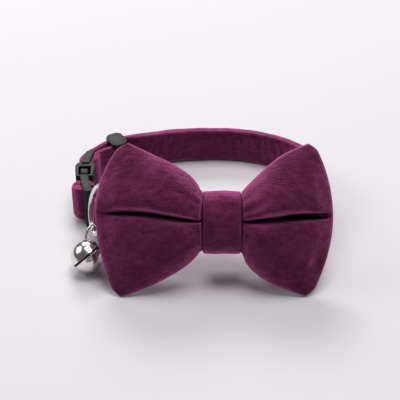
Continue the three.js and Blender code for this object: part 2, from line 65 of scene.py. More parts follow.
# ---- Sizes of the collar, as its construction has them (mm) -----------------------------------------
STRAP_WIDTH, STRAP_THICK, LAYER_THICK = 16.0, 4.4, 2.6
GAP = 0.3
BUCKLE_BAR, BUCKLE_BEND, BUCKLE_MIDDLE = 2.4, 50.0, 13.0
BUCKLE_BACK = np.array([-52.9, 8.6, 9.8])
BUCKLE_TURN = math.radians(2.5)
SLIDER_AT = np.array([-39.9, 19.9, 9.7])
SLIDER_TURN = math.radians(29.5)
SLIDER_BAR = 1.4
BOW_CENTRE = np.array([6.3, -45.9, 23.7])
BOW_LEAN = math.radians(37.5)
RING_BAR = np.array([-43.3, -34.2, 19.7])
RING_SWING = math.radians(-19.5)
RING_HEIGHT, RING_WIRE, RING_ROUND = 23.2, 2.0, 0.96
LINK_SIDE, LINK_WIRE = 3.0, 1.1
HOOK_ANGLE, HOOK_INSIDE, HOOK_TILT = math.radians(-55), 2.4, math.radians(30)
BELL_RADIUS, BELL_WALL, BELL_SLOT = 6.8, 0.55, 0.9
BELL_EYE, EYE_WIRE, EYE_SUNK = 1.5, 1.0, 0.3
BELL_HOLE_AT, BELL_HOLE = math.radians(74), 1.15
BELL_AT = np.array([-48.2, -47.1, BELL_RADIUS])
BELL_AXIS = np.array([0.12, 0.86, -0.5])
BELL_SLOT_WAY = np.array([0.774, 0.38, 0.506])

_low, _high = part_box("slider")
SHIFT = np.array([(_low[i] + _high[i]) / 2 / MM - SLIDER_AT[i] for i in range(3)])


def place(points):
    """Collar plan in millimetres to the row frame in metres."""
    return (np.asarray(points, float) + SHIFT) * MM


# ---- Vectors and curves -----------------------------------------------------------------------------
def unit(v):
    """Vectors along the last axis scaled to length 1."""
    v = np.asarray(v, float)
    return v / np.linalg.norm(v, axis=-1, keepdims=True)


def square(v, to):
    """v with its part along `to` taken out, at length 1."""
    to = unit(to)
    return unit(v - np.sum(v * to, axis=-1, keepdims=True) * to)


def smooth(x):
    """0 to 1 with flat ends."""
    x = np.clip(x, 0, 1)
    return x * x * (3 - 2 * x)


def through(points, count, closed=False):
    """Centripetal Catmull-Rom curve through points: count + 1 places, spread evenly over the spans.

    Each span is the cubic whose end tangents come from its neighbours, with knots spaced by the square
    root of the chord; open ends are continued by their first and last chords.
    """
    p = np.asarray(points, float)
    if closed:
        p = np.vstack([p[-1:], p, p[:2]])
    else:
        p = np.vstack([2 * p[0] - p[1], p, 2 * p[-1] - p[-2]])
    spans = len(p) - 3
    t = np.linspace(0, spans, count + 1)[: count if closed else count + 1]
    k = np.minimum(t.astype(int), spans - 1)
    w = (t - k)[:, None]
    p0, p1, p2, p3 = p[k], p[k + 1], p[k + 2], p[k + 3]
    d0, d1, d2 = [
        np.sqrt(np.linalg.norm(b - a, axis=1, keepdims=True)) for a, b in ((p0, p1), (p1, p2), (p2, p3))
    ]
    m1 = ((p1 - p0) / d0 - (p2 - p0) / (d0 + d1) + (p2 - p1) / d1) * d1
    m2 = ((p2 - p1) / d1 - (p3 - p1) / (d1 + d2) + (p3 - p2) / d2) * d1
    c2 = -3 * p1 + 3 * p2 - 2 * m1 - m2
    c3 = 2 * p1 - 2 * p2 + m1 + m2
    places = p1 + m1 * w + c2 * w**2 + c3 * w**3
    tangents = unit(m1 + 2 * c2 * w + 3 * c3 * w**2)
    return places, tangents, k, w[:, 0]


def waves(x, y, rows):
    """Soft unevenness: a sum of plane waves, one for each row (size, lengths of a wave in x and y, phase)."""
    total = np.zeros(np.broadcast(x, y).shape)
    for size, across, along, phase in rows:
        total = total + size * np.sin(TAU * (x / across + y / along) + phase)
    return total


# ---- Meshes -----------------------------------------------------------------------------------------
def put_mesh(name, points, faces, material, smooth_shading=True):
    """A mesh object of points in the row frame (m), with quads or triangles."""
    mesh = bpy.data.meshes.new(name)
    faces = np.asarray(faces)
    mesh.vertices.add(len(points))
    mesh.vertices.foreach_set("co", np.asarray(points, np.float32).ravel())
    mesh.loops.add(faces.size)
    mesh.loops.foreach_set("vertex_index", faces.astype(np.int32).ravel())
    mesh.polygons.add(len(faces))
    mesh.polygons.foreach_set("loop_start", np.arange(0, faces.size, faces.shape[1], dtype=np.int32))
    mesh.update(calc_edges=True)
    mesh.validate()
    mesh.polygons.foreach_set("use_smooth", np.full(len(mesh.polygons), smooth_shading))
    mesh.materials.append(material)
    thing = bpy.data.objects.new(name, mesh)
    bpy.context.scene.collection.objects.link(thing)
    return thing


def grid_faces(rows, columns, wrap_rows=False, wrap_columns=True):
    """Quads over a grid of points, closed round its columns, and round its rows if asked."""
    i = np.arange(rows if wrap_rows else rows - 1)
    j = np.arange(columns if wrap_columns else columns - 1)
    i, j = [a.ravel() for a in np.meshgrid(i, j, indexing="ij")]
    i2, j2 = (i + 1) % rows, (j + 1) % columns
    return np.stack([i * columns + j, i * columns + j2, i2 * columns + j2, i2 * columns + j], 1)


def face_out(thing):
    """Turns the faces so that the volume is positive, after merging doubled points."""
    import bmesh

    bm = bmesh.new()
    bm.from_mesh(thing.data)
    bmesh.ops.remove_doubles(bm, verts=bm.verts, dist=1e-7)
    bmesh.ops.recalc_face_normals(bm, faces=bm.faces)
    if bm.calc_volume(signed=True) < 0:
        bmesh.ops.reverse_faces(bm, faces=bm.faces)
    bm.to_mesh(thing.data)
    bm.free()
    return thing


def shell(name, rings, material, closed=False, painted_shade=None):
    """A closed surface through rings of points (rings, points, 3), open ends filled in.

    The optional mark is painted shade for the velvet: how deep in a crease, or how near the knot's tucked
    edges, each point lies.
    """
    rows, columns, _ = rings.shape
    points = rings.reshape(-1, 3)
    faces = grid_faces(rows, columns, wrap_rows=closed)
    thing = put_mesh(name, place(points), faces, material)
    if painted_shade is not None:
        mark = thing.data.attributes.new("painted_shade", "FLOAT", "POINT")
        mark.data.foreach_set("value", np.ascontiguousarray(painted_shade, np.float32).ravel())
    if not closed:
        bm = bmesh.new()
        bm.from_mesh(thing.data)
        bmesh.ops.holes_fill(bm, edges=[e for e in bm.edges if e.is_boundary], sides=0)
        bm.to_mesh(thing.data)
        bm.free()
    return face_out(thing)


def band_section(width, thick, steps, soft=0.42, crown=0.0):
    """Outline of a padded band, (across, through): two nearly flat faces and round edges.

    The faces swell by crown toward their middle.
    """
    radius = (thick * soft)[:, None]
    flat = 14
    a, b = [], []
    for quarter, (sa, sb) in enumerate(((1, 1), (-1, 1), (-1, -1), (1, -1))):
        angle = (quarter + np.linspace(0, 1, steps)) * math.pi / 2
        a.append(sa * (width[:, None] / 2 - radius) + radius * np.cos(angle))
        b.append(sb * (thick[:, None] / 2 - radius) + radius * np.sin(angle))
        if quarter % 2 == 0:
            slide = np.linspace(0, 1, flat + 2)[1:-1] * 2 - 1
            a.append(-sa * slide[None] * (width[:, None] / 2 - radius))
            b.append(np.repeat(sb * thick[:, None] / 2, flat, axis=1))
    a, b = np.concatenate(a, 1), np.concatenate(b, 1)
    across = np.clip(np.abs(a) / (width[:, None] / 2), 0, 1)
    return a, b * (1 + crown * (1 - across**2))


def tube(name, path, tangents, radius, sides, material):
    """Closed round wire: a circle of points carried along a path without twisting more than it must."""
    normal = square(np.array([0.31, 0.2, 0.93]), tangents[0])
    normals = []
    for tangent in tangents:
        normal = square(normal, tangent)
        normals.append(normal)
    normals = np.array(normals)
    last = square(normals[-1], tangents[0])
    side = np.cross(tangents[0], normals[0])
    turn = math.atan2(float(last @ side), float(last @ normals[0]))
    share = np.linspace(0, 1, len(path), endpoint=False) * -turn
    other = np.cross(tangents, normals)
    angle = np.linspace(0, TAU, sides, endpoint=False)[None] + share[:, None]
    rings = (
        path[:, None]
        + radius * np.cos(angle)[..., None] * normals[:, None]
        + radius * np.sin(angle)[..., None] * other[:, None]
    )
    return shell(name, rings, material, closed=True)


# ---- Shader expressions -----------------------------------------------------------------------------
# Colour of the painted shade in the bow's creases and along the knot's edges.
PAINTED_SHADE_COLOUR = (0.012, 0.002, 0.006, 1)
SHEEN_BRIGHT = (0.70, 0.172, 0.425, 1)
SHEEN_DIM = tuple(c * 0.62 for c in SHEEN_BRIGHT[:3]) + (1,)


class Val:
    """A socket of a node tree; arithmetic on it adds Math nodes."""

    def __init__(self, tree, socket):
        self.tree, self.socket = tree, socket

    def _math(self, operation, a, b=None):
        values = {0: a} if b is None else {0: a, 1: b}
        return node(self.tree, "ShaderNodeMath", {"operation": operation}, values)

    def __add__(self, other):
        return self._math("ADD", self, other)

    def __sub__(self, other):
        return self._math("SUBTRACT", self, other)

    def __mul__(self, other):
        return self._math("MULTIPLY", self, other)

    def __radd__(self, other):
        return self._math("ADD", other, self)

    def __rsub__(self, other):
        return self._math("SUBTRACT", other, self)

    def __rmul__(self, other):
        return self._math("MULTIPLY", other, self)


def node(tree, kind, settings=None, values=None, output=0):
    """Adds a node: its settings first, then numbers or links on its inputs; gives one of its outputs."""
    made = tree.nodes.new(kind)
    for key, value in (settings or {}).items():
        setattr(made, key, value)
    for key, value in (values or {}).items():
        if isinstance(value, Val):
            tree.links.new(value.socket, made.inputs[key])
        else:
            made.inputs[key].default_value = value
    return Val(tree, made.outputs[output])


def finish(name, recipe, **fixed):
    """A material: the recipe gives what varies, fixed gives the shader's own constants."""
    material = bpy.data.materials.new(name)
    material.use_nodes = True
    tree = material.node_tree
    shader = tree.nodes["Principled BSDF"]
    for key, value in fixed.items():
        shader.inputs[key.replace("_", " ")].default_value = value
    for key, value in recipe(tree).items():
        tree.links.new(value.socket, shader.inputs[key])
    return material


def spot_noise(tree, scale, detail=3.0, rough=0.55, stretch=None):
    """Noise on the piece's own coordinates, drawn out along an axis if asked."""
    where = node(tree, "ShaderNodeTexCoord", output="Object")
    if stretch is not None:
        where = node(tree, "ShaderNodeMapping", {}, {"Vector": where, "Scale": stretch})
    values = {"Vector": where, "Scale": scale, "Detail": detail, "Roughness": rough}
    return node(tree, "ShaderNodeTexNoise", {}, values)


def mix_colour(tree, factor, a, b):
    """Colour between a and b."""
    values = {0: factor, 6: a, 7: b}
    return node(tree, "ShaderNodeMix", {"data_type": "RGBA"}, values, output=2)


def spread(tree, value, low, high):
    """value from low..high spread over 0..1, with soft ends."""
    settings = {"interpolation_type": "SMOOTHSTEP"}
    return node(tree, "ShaderNodeMapRange", settings, {"Value": value, "From Min": low, "From Max": high})


def velvet(name, deep, mid, worn):
    """Short-pile velvet: brushed patches over a fine mottled pile.

    Seen from the side the pile shows its brighter tips as a sheen; painted shade darkens creases and the
    knot's edges and takes the sheen away there.
    """

    def recipe(tree):
        patches = spot_noise(tree, 80.0, 2.0, 0.5, stretch=(1.0, 1.0, 1.7))
        brushed = spot_noise(tree, 620.0, 3.0, 0.6, stretch=(0.45, 1.0, 0.8))
        pile = spot_noise(tree, 1800.0, 2.0, 0.7)
        tone = spread(tree, patches * 0.22 + brushed * 0.4 + pile * 0.38, 0.38, 0.62)
        colour = mix_colour(tree, tone, deep, mid)
        flecks = spread(tree, pile * 0.55 + brushed * 0.45, 0.6, 0.78)
        colour = mix_colour(tree, flecks * 0.45, colour, worn)
        height = pile * 0.6 + brushed * 0.8 + patches * 0.5
        normal = node(tree, "ShaderNodeBump", {}, {"Strength": 0.7, "Distance": 0.00045, "Height": height})
        # Painted shade: darkens the colour in creases and at the knot's edges, and takes the sheen out there.
        painted_shade_factor = node(tree, "ShaderNodeAttribute", {"attribute_name": "painted_shade"}, output="Fac")
        colour = mix_colour(tree, painted_shade_factor * 0.85, colour, PAINTED_SHADE_COLOUR)
        bright = mix_colour(tree, tone, SHEEN_DIM, SHEEN_BRIGHT)
        graze = node(tree, "ShaderNodeLayerWeight", {}, {"Blend": 0.5, "Normal": normal}, output="Facing")
        share = spread(tree, graze, 0.06, 0.66) * 0.72 * (1.0 - painted_shade_factor)
        matt = {"Roughness": 1.0, "Diffuse Roughness": 1.0, "Specular IOR Level": 0.0}
        glow = node(tree, "ShaderNodeBsdfPrincipled", {}, {"Base Color": bright, "Normal": normal, **matt})
        layers.extend([share, glow])
        return {"Base Color": colour, "Normal": normal}

    layers = []
    material = finish(
        name,
        recipe,
        Roughness=0.92,
        Specular_IOR_Level=0.12,
        Sheen_Weight=0.2,
        Sheen_Roughness=0.4,
        Sheen_Tint=(0.95, 0.42, 0.70, 1.0),
    )
    tree = material.node_tree
    shader, output = tree.nodes["Principled BSDF"], tree.nodes["Material Output"]
    share, glow = layers
    mixed = node(tree, "ShaderNodeMixShader", {}, {0: share, 2: glow})
    tree.links.new(shader.outputs["BSDF"], mixed.socket.node.inputs[1])
    tree.links.new(mixed.socket, output.inputs["Surface"])
    return material


def plastic():
    """Moulded plastic: nearly black, a faint grain and random patches slightly rubbed lighter and rougher."""

    def recipe(tree):
        grain = spot_noise(tree, 2600.0, 2.0, 0.6)
        cloud = spot_noise(tree, 260.0, 3.0, 0.5)
        worn = spread(tree, cloud, 0.35, 0.7)
        colour = mix_colour(tree, worn, (0.010, 0.011, 0.011, 1), (0.020, 0.022, 0.021, 1))
        rough = 0.42 + cloud * 0.16
        normal = node(tree, "ShaderNodeBump", {}, {"Strength": 0.25, "Distance": 0.0001, "Height": grain})
        return {"Base Color": colour, "Roughness": rough, "Normal": normal}

    return finish("black_moulded_plastic", recipe, Specular_IOR_Level=0.22)


def polished():
    """Bright nickel plate: mirror-like with faint wipe marks."""

    def recipe(tree):
        wipe = spot_noise(tree, 500.0, 3.0, 0.6, stretch=(1.0, 1.0, 6.0))
        cloud = spot_noise(tree, 160.0, 2.0, 0.5)
        colour = mix_colour(tree, cloud, (0.82, 0.81, 0.79, 1), (0.72, 0.7, 0.67, 1))
        rough = 0.15 + wipe * 0.1
        return {"Base Color": colour, "Roughness": rough}

    return finish("polished_nickel_plate", recipe, Metallic=1.0)


def dull_metal():
    """Inside of the bell, dull and dark."""

    def recipe(tree):
        cloud = spot_noise(tree, 400.0, 3.0, 0.6)
        return {"Base Color": mix_colour(tree, cloud, (0.1, 0.095, 0.09, 1), (0.3, 0.29, 0.27, 1))}

    return finish("bell_inside_metal", recipe, Metallic=1.0, Roughness=0.45)


def paper():
    """Plain pale floor."""

    def recipe(tree):
        cloud = spot_noise(tree, 6.0, 3.0, 0.5)
        return {"Base Color": mix_colour(tree, cloud, (0.69, 0.665, 0.70, 1), (0.72, 0.70, 0.735, 1))}

    return finish("pale_floor", recipe, Roughness=0.8, Specular_IOR_Level=0.2)


# ---- Strap ------------------------------------------------------------------------------------------
# Fold on the plug half's ladder, in the buckle's own frame: along its length, outward, thickness there.
FOLD = (
    (21.9, -2.6, 2.2),
    (20.3, -2.6, 2.2),
    (19.1, -1.1, 2.3),
    (19.1, 0.8, 2.5),
    (19.7, 2.9, 3.8),
    (21.7, 3.7, 4.4),
    (23.6, 2.9, 3.8),
    (24.25, 0.9, 2.5),
    (24.25, -1.0, 2.5),
    (25.4, -4.2, 2.7),
    (28.0, -5.0, 4.2),
)
# Middle line of the loop from the buckle round the front, right and back: x, y, z, lean of the width.
ROUTE = (
    (-44.2, -23.4, 11.8, 9),
    (-41.8, -28.6, 14.8, 18),
    (-36.0, -33.8, 17.0, 28),
    (-25.5, -37.4, 18.6, 35),
    (-10.0, -39.3, 19.1, 39),
    (6.3, -39.6, 19.4, 39),
    (22.0, -37.5, 18.4, 37),
    (36.0, -31.0, 15.6, 30),
    (45.5, -20.0, 11.6, 17),
    (49.8, -6.0, 9.0, 5),
    (49.2, 8.6, 8.16, 0),
    (42.6, 19.4, 8.06, 0),
    (32.0, 26.9, 8.06, 0),
    (18.0, 31.8, 8.06, 0),
    (2.0, 33.0, 8.06, 0),
    (-14.6, 31.2, 8.5, 0),
    (-27.2, 27.0, 9.3, 0),
)
TURN_ANGLES = (15, 50, 90, 130, 165)


def on_buckle(s, out):
    """A place in the buckle's curved frame: s along it from the back bar, out away from the neck."""
    along = np.array([math.sin(BUCKLE_TURN), -math.cos(BUCKLE_TURN), 0])
    outward = np.array([-math.cos(BUCKLE_TURN), -math.sin(BUCKLE_TURN), 0])
    bend = (s - BUCKLE_MIDDLE) ** 2 / (2 * BUCKLE_BEND)
    return BUCKLE_BACK + along * s + outward * (out - bend)


def on_slider(s, out):
    """A place in the slider's frame: s along the strap toward the buckle, out away from the neck."""
    along = np.array([-math.cos(SLIDER_TURN), -math.sin(SLIDER_TURN), 0])
    outward = np.array([-math.sin(SLIDER_TURN), math.cos(SLIDER_TURN), 0])
    return SLIDER_AT + along * s + outward * out


def strap_rows():
    """Points, leans and thicknesses of the strap's whole middle line."""
    layer = LAYER_THICK / 2 + SLIDER_BAR / 2 + GAP
    turn = BUCKLE_BAR / 2 + LAYER_THICK / 2 + GAP
    rows = [(on_buckle(s, out), 0, thick) for s, out, thick in FOLD]
    rows += [(np.array([x, y, z]), lean, STRAP_THICK) for x, y, z, lean in ROUTE]
    rows += [(on_slider(s, layer), 0, LAYER_THICK) for s in (-4.4, 0, 4.6)]
    rows.append((0.52 * on_slider(5.6, layer) + 0.48 * on_buckle(-2.6, 1.2), 0, LAYER_THICK))
    rows.append((on_buckle(-3.0, 1.65), 0, LAYER_THICK))
    for angle in np.radians(TURN_ANGLES):
        at = on_buckle(BUCKLE_BAR / 2 + turn * math.sin(angle), turn * math.cos(angle))
        rows.append((at, 0, LAYER_THICK))
    rows.append((on_buckle(-3.0, -2.7), 0, LAYER_THICK))
    rows += [(on_slider(s, -layer), 0, LAYER_THICK) for s in (4.6, 0, -2.6)]
    return rows


def build_strap(material):
    """The strap: a padded outline carried along the loop, its width leaning in where the bow holds it.

    The two faces swell a little between the edges, and soft waves a few millimetres long stand for the
    pull of the filling; the edges wander by a fraction of a millimetre.
    """
    rows = strap_rows()
    places, tangents, k, w = through([r[0] for r in rows], len(rows) * 24)
    ease = w * w * (3 - 2 * w)
    leans = np.array([r[1] for r in rows], float)
    thicks = np.array([r[2] for r in rows], float)
    nxt = np.minimum(k + 1, len(rows) - 1)
    lean = np.radians(leans[k] * (1 - ease) + leans[nxt] * ease)
    thick = thicks[k] * (1 - ease) + thicks[nxt] * ease
    inward = unit(np.stack([-tangents[:, 1], tangents[:, 0], np.zeros(len(tangents))], 1))
    up = np.array([0.0, 0.0, 1.0])
    across = square(up * np.cos(lean)[:, None] + inward * np.sin(lean)[:, None], tangents)
    face = unit(np.cross(across, tangents))
    a, b = band_section(np.full(len(places), STRAP_WIDTH), thick, 9, soft=0.3, crown=0.06)
    length = np.concatenate([[0], np.cumsum(np.linalg.norm(np.diff(places, axis=0), axis=1))])[:, None]
    free = smooth((thick[:, None] - 3.9) / 0.4)
    flatness = 1 - np.clip(np.abs(a) / (STRAP_WIDTH / 2), 0, 1) ** 4
    swell = waves(length, a, ((0.10, 7.3, 40, 0.4), (0.07, 4.1, -31, 2.1), (0.05, 2.9, 17, 4.0)))
    b = b + np.sign(b) * swell * flatness * free
    edge = waves(length, 0 * a, ((0.10, 13.0, 1e9, 0.2), (0.06, 5.7, 1e9, 1.1)))
    a = a + edge * free * np.sign(a) * 0.6 - 0.12 * free * np.sign(a)
    rings = places[:, None] + a[..., None] * across[:, None] + b[..., None] * face[:, None]
    return shell("strap_velvet", rings, material)


def build_keeper(material):
    """Short velvet loop over the D-ring's straight side: the same band outline, narrow and thin."""
    along, up, _ = ring_frame(0.0)
    out = unit(np.cross(up, along))
    out = -out if out[1] > 0 else out
    reach = RING_WIRE / 2 + 0.6 + GAP + 0.1
    line = [(4.4, -0.35), (3, -0.2), (1.75, 1), (0, reach), (-1.75, 1), (-3, -0.2), (-4.4, -0.35)]
    places, tangents, _, _ = through([RING_BAR + along * p + out * q for p, q in line], 72)
    across = np.repeat(up[None], len(places), 0)
    face = unit(np.cross(across, tangents))
    a, b = band_section(np.full(len(places), 10.0), np.full(len(places), 1.2), 7)
    rings = places[:, None] + a[..., None] * across[:, None] + b[..., None] * face[:, None]
    return shell("d_ring_keeper_velvet", rings, material)


# ---- Bow --------------------------------------------------------------------------------------------
BOW_UP = np.array([0, math.sin(BOW_LEAN), math.cos(BOW_LEAN)])
BOW_OUT = np.array([0, -math.cos(BOW_LEAN), math.sin(BOW_LEAN)])
LOBE_START = 4.6
# Inside the knot, as far as WAIST_END from the middle, the lobes are held to these half sizes.
WAIST_END, WAIST_BLEND = 7.5, 0.45
WAIST_HIGH, WAIST_LOW, WAIST_FRONT, WAIST_BACK = 8.7, 9.4, 3.2, 3.0
SOFT_WAVES = ((0.16, 31, 23, 0.5), (0.12, -19, 27, 1.9), (0.07, 11, 9.5, 0.3), (0.05, 7, -8, 2.7))
CLOTH_THICK = 0.7  # least depth between the front's crease and the back
KNOT_WIDTH, KNOT_HIGH, KNOT_LOW, KNOT_WALL, KNOT_FACE = 15.2, 12.2, 12.3, 2.0, 6.2
# Reach of the edge at the upper tip, the middle and the lower tip, then rows from the waist outward:
# share of the reach, half height above and below the crease.
LEFT = {
    "side": -1,
    "rise": 3.6,
    "reach": (39.6, 50.3, 42.4),
    "rows": (
        (0, 11.0, 10.8),
        (0.09, 12.0, 11.5),
        (0.16, 15.4, 13.9),
        (0.25, 18.6, 17.0),
        (0.45, 23.0, 21.6),
        (0.7, 26.8, 26.0),
        (1, 31.4, 29.9),
    ),
}
RIGHT = {
    "side": 1,
    "rise": 2.0,
    "reach": (36.6, 44.2, 35.4),
    "rows": (
        (0, 10.6, 11.0),
        (0.09, 11.6, 11.9),
        (0.17, 14.0, 16.0),
        (0.25, 16.4, 19.0),
        (0.45, 22.0, 23.4),
        (0.7, 27.4, 26.6),
        (1, 31.2, 29.6),
    ),
}


def on_bow(u, v, n):
    """A place in the bow's frame: u along it, v up its face, n out of its face."""
    u, v, n = np.broadcast_arrays(u, v, n)
    base = BOW_CENTRE + np.stack([u, np.zeros_like(u), np.zeros_like(u)], -1)
    return base + v[..., None] * BOW_UP + n[..., None] * BOW_OUT


def edge_heights(rows, column, t):
    """Half height at reach t, from a smooth line through the rows of the lobe's table."""
    table = np.array(rows, float)
    line, _, _, _ = through(table[:, [0, column]], 240)
    return np.interp(t, line[:, 0], line[:, 1])


def lobe_surface(lobe, reaches, heights, front):
    """One face of a lobe as points (reaches, heights, 3).

    t runs from the waist to the outer edge and h from -1 at the lower edge to 1 at the upper edge. The
    outline comes from the table; the outer edge bows between its tips and its corners are rounded. The
    front is two puffs, one over the other, that roll down into a crease; on the right the crease opens
    into a pocket. Folds fan out from the knot and die away.
    """
    t, h = reaches[:, None], heights[None]
    side = lobe["side"]
    tip_high, middle, tip_low = lobe["reach"]
    top = edge_heights(lobe["rows"], 1, t)
    bottom = edge_heights(lobe["rows"], 2, t)
    tip = np.where(h > 0, tip_high, tip_low)
    out = LOBE_START + (tip - LOBE_START) * t
    free = smooth((out - WAIST_END) / WAIST_BLEND)
    top = WAIST_HIGH + (top - WAIST_HIGH) * free
    bottom = WAIST_LOW + (bottom - WAIST_LOW) * free
    corner = np.clip((np.abs(h) - 0.88) / 0.12, 0, 1) ** 2 * 2.4
    reach = middle - (middle - tip) * np.abs(h) ** 2 - corner
    u = side * (LOBE_START + (reach - LOBE_START) * t)
    v = np.where(h > 0, h * top, h * bottom) + lobe["rise"] * smooth(t * 1.4) * (1 - h * h)
    near = np.abs(h)
    rim = np.sqrt(np.clip(1 - near**9, 0, 1))
    end = np.sqrt(np.clip(1 - t**16, 0, 1))
    body = smooth(0.22 + t * 2.2) * (1 - 0.66 * smooth((t - 0.35) / 0.75))
    fan = np.exp(-((t / 0.3) ** 2)) * smooth(t * 12)
    rear = 2.4 * (1 - t) + 1.2 * t + body * 3.0 * (1 - 0.55 * near**2)
    rear = rear - body * 1.0 * np.exp(-((h / 0.08) ** 2))
    rear = rear + 0.25 * fan * np.cos(11 * h)
    if front:
        upper = np.clip(h, 0, 1)
        lower = np.clip(-h, 0, 1)
        roll_up = np.sqrt(np.clip(1 - (1 - np.clip(upper / 0.26, 0, 1)) ** 2, 0, 1))
        roll_low = np.sqrt(np.clip(1 - (1 - np.clip(lower / 0.42, 0, 1)) ** 2, 0, 1))
        puff_up = roll_up * (1 - 0.86 * upper**1.35)
        puff_low = roll_low * (1 - 0.8 * lower**1.6) * 0.84
        puff = np.where(h > 0, puff_up, puff_low)
        deep = smooth(t * 7) * (1 - smooth((t - 0.74) / 0.22))
        n = 3.0 * (1 - t) + 1.5 * t + body * (0.5 + 10.0 * puff * (1 - 0.5 * smooth((t - 0.8) / 0.2)))
        groove = np.exp(-((h / 0.042) ** 2)) * deep
        n = n - groove * (2.2 + 2.4 * body)
        folds = np.cos(9.5 * h + 0.8) + 0.6 * np.cos(17 * h + 2.0 + 2 * side)
        n = n + 0.42 * fan * folds * (1 - near**4)
        soft = waves(u, v, SOFT_WAVES)
        n = n + soft * smooth(t * 4) * (1 - near**6)
        if side > 0:
            pocket = smooth((t - 0.42) / 0.16) * (1 - smooth((t - 0.93) / 0.04))
            open_by = 0.012 + 0.026 * pocket
            gap = smooth((open_by + 0.014 - np.abs(h - 0.012)) / 0.014)
            n = n - gap * pocket * (1.6 + 4.2 * body)
            dimple = np.exp(-(((u - 37.5) / 3.6) ** 2) - ((v + 15.5) / 5.5) ** 2)
            n = n - 1.1 * dimple
        n = np.maximum(n, CLOTH_THICK - rear)
        n = (np.minimum(n, WAIST_FRONT) * (1 - free) + n * free) * rim * end
    else:
        n = -(np.minimum(rear, WAIST_BACK) * (1 - free) + rear * free) * rim * end
    # Painted shade along the front's crease, for the velvet's colour; none on the back.
    shade = np.exp(-(((h + 0.012) / 0.055) ** 2)) * smooth(t * 5) * (1 - smooth((t - 0.8) / 0.18)) * front
    return on_bow(u, v, n), shade + 0 * t


def build_bow(material):
    """The bow: front and back faces of both lobes meet along the outline; the waist is under the knot."""
    fine = np.linspace(-1, 1, 150)
    heights = np.sign(fine) * np.abs(fine) ** 1.6
    heights = 0.55 * heights + 0.45 * np.sin(fine * math.pi / 2)
    heights = heights / heights[-1]
    steps = np.linspace(0, 1, 120)
    reaches = 0.5 * steps + 0.5 * np.sin(steps * math.pi / 2)
    rings, folds = [], []
    for lobe in (LEFT, RIGHT):
        front, dark = lobe_surface(lobe, reaches, heights, True)
        back, plain = lobe_surface(lobe, reaches, heights, False)
        way = -1 if lobe["side"] < 0 else 1
        rings.append(np.concatenate([front, back[:, -2:0:-1]], axis=1)[::way])
        # This list gathers the lobes' painted crease shade, not cloth folds.
        folds.append(np.concatenate([dark, plain[:, -2:0:-1]], axis=1)[::way])
    return shell("bow_velvet", np.concatenate(rings), material, painted_shade=np.concatenate(folds))


def build_knot(material):
    """The knot: a velvet band round the waist and the strap, flat in front and rounded over its folds."""
    high, low, face_at = KNOT_HIGH, KNOT_LOW, KNOT_FACE
    line = (
        (-low + 3.0, face_at - 1.8),
        (-5, face_at - 0.2),
        (0, face_at + 0.6),
        (4.4, face_at - 0.3),
        (high - 3.7, face_at - 2.3),
        (high - 1.4, face_at - 5.6),
        (high - 1, -3),
        (high - 1.6, -9.5),
        (high - 4, -12.7),
        (0, -12.9),
        (-low + 4, -12.7),
        (-low + 1.6, -9.5),
        (-low + 1, -3),
        (-low + 1, face_at - 4.4),
    )
    places, tangents, _, _ = through([on_bow(0.0, v, n) for v, n in line], 260, closed=True)
    across = np.repeat(np.array([[1.0, 0, 0]]), len(places), 0)
    face = unit(np.cross(across, tangents))
    a, b = band_section(np.full(len(places), KNOT_WIDTH), np.full(len(places), KNOT_WALL), 9, crown=0.25)
    turn = np.linspace(0, TAU, len(places), endpoint=False)[:, None]
    v = ((places - BOW_CENTRE) @ BOW_UP)[:, None]
    pinch = 1 - 0.035 * np.cos(v / 12.0 * math.pi / 2 * 0.9) ** 2
    ragged = 0.10 * np.sin(turn * 13) + 0.05 * np.sin(turn * 29 + 1)
    edge = np.clip(np.abs(a) / 7.7, 0, 1) ** 3
    a = a * pinch + np.sign(a) * ragged * edge
    b = b + waves(v + 0 * a, a, ((0.10, 9, 14, 0.3), (0.06, 5, -9, 1.4))) * (1 - edge)
    rings = places[:, None] + a[..., None] * across[:, None] + b[..., None] * face[:, None]
    # Painted shade along the knot's front edges where it presses into the lobes: darker colour and no sheen
    # there.
    knot_edge_shade = 0.75 * smooth((np.abs(a) / 7.35 - 0.93) / 0.07) * (face[:, None, 1] < 0.2)
    return shell("knot_velvet", rings, material, closed=True, painted_shade=knot_edge_shade)


# ---- Ring, link and bell ----------------------------------------------------------------------------
def turned(v, axis, angle):
    """v turned about a unit axis by an angle (Rodrigues)."""
    axis = unit(axis)
    return (
        v * math.cos(angle) + np.cross(axis, v) * math.sin(angle) + axis * (axis @ v) * (1 - math.cos(angle))
    )


def ring_frame(swing):
    """Out (straight side to bulge), up (along the straight side) and face of the D-ring."""
    out = unit(np.array([-0.72, 0.66, -0.2]))
    up = square(np.array([0.2, 0.3, 0.92]), out)
    out = turned(out, up, swing)
    return out, up, np.cross(out, up)


def ring_curve():
    """The D-ring's middle line: a straight side and most of a circle drawn in a little."""
    out, up, _ = ring_frame(RING_SWING)
    half = (RING_HEIGHT - RING_WIRE) / 2
    points = [RING_BAR + up * (i / 5 * half) for i in range(-4, 5)]
    for angle in np.radians(np.arange(78, -79, -12)):
        points.append(RING_BAR + out * half * RING_ROUND * math.cos(angle) + up * half * math.sin(angle))
    return points


def build_ring(material):
    """D-ring of round wire."""
    path, tangents, _, _ = through(ring_curve(), 320, closed=True)
    return tube("d_ring_wire", path, tangents, RING_WIRE / 2, 24, material)


def bell_eye():
    """Middle of the bell's own loop."""
    return BELL_AT + unit(BELL_AXIS) * (BELL_RADIUS + BELL_EYE - EYE_SUNK)


